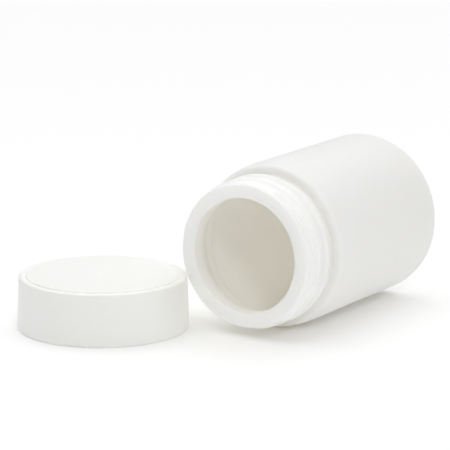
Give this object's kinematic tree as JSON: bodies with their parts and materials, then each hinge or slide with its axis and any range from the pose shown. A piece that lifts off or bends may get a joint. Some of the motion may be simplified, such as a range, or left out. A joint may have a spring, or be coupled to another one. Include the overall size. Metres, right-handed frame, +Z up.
{
  "type": "wide-mouth pill bottle",
  "caption": "Open wide-mouth pill bottle lying on its side, with its push-and-turn two-shell screw cap standing beside it.",
  "frame": {"origin": "centre of the pair's footprint, on the surface that the bottle lies on and the cap stands on", "axes": "+Z up; +Y along the bottle's axis from its mouth to its base; +X from the cap towards the bottle; the cap's own axis is vertical"},
  "size_m": [0.1102, 0.1282, 0.0584],
  "materials": {
    "bottle_plastic": "satin, opaque white blow-moulded high-density polyethylene",
    "cap_plastic": "smooth satin, opaque white injection-moulded polypropylene",
    "inner_cap_plastic": "satin, opaque white injection-moulded polypropylene",
    "liner_foam": "dull, fine-celled white foamed polyethylene"
  },
  "bodies": {
    "bottle": {"bottle": "bottle_plastic"},
    "outer_cap": {"outer_cap": "cap_plastic"},
    "liner": {"liner": "liner_foam"},
    "inner_cap": {"inner_cap": "inner_cap_plastic"}
  },
  "joints": [
    {"name": "cap_lift", "type": "slide", "parent": "bottle", "child": "outer_cap", "axis": [-0.596, -0.241, 0.766], "range_m": [0, 0.08]},
    {"name": "cap_press", "type": "slide", "parent": "outer_cap", "child": "liner", "axis": [0, 0, 1], "range_m": [0, 0.0013], "stiffness_N_per_m": 1500, "springref_m": -0.0007},
    {"name": "inner_turn", "type": "hinge", "parent": "liner", "child": "inner_cap", "pos_m": [-0.02489, -0.03392, 0.009], "axis": [0, 0, 1], "continuous": true}
  ]
}
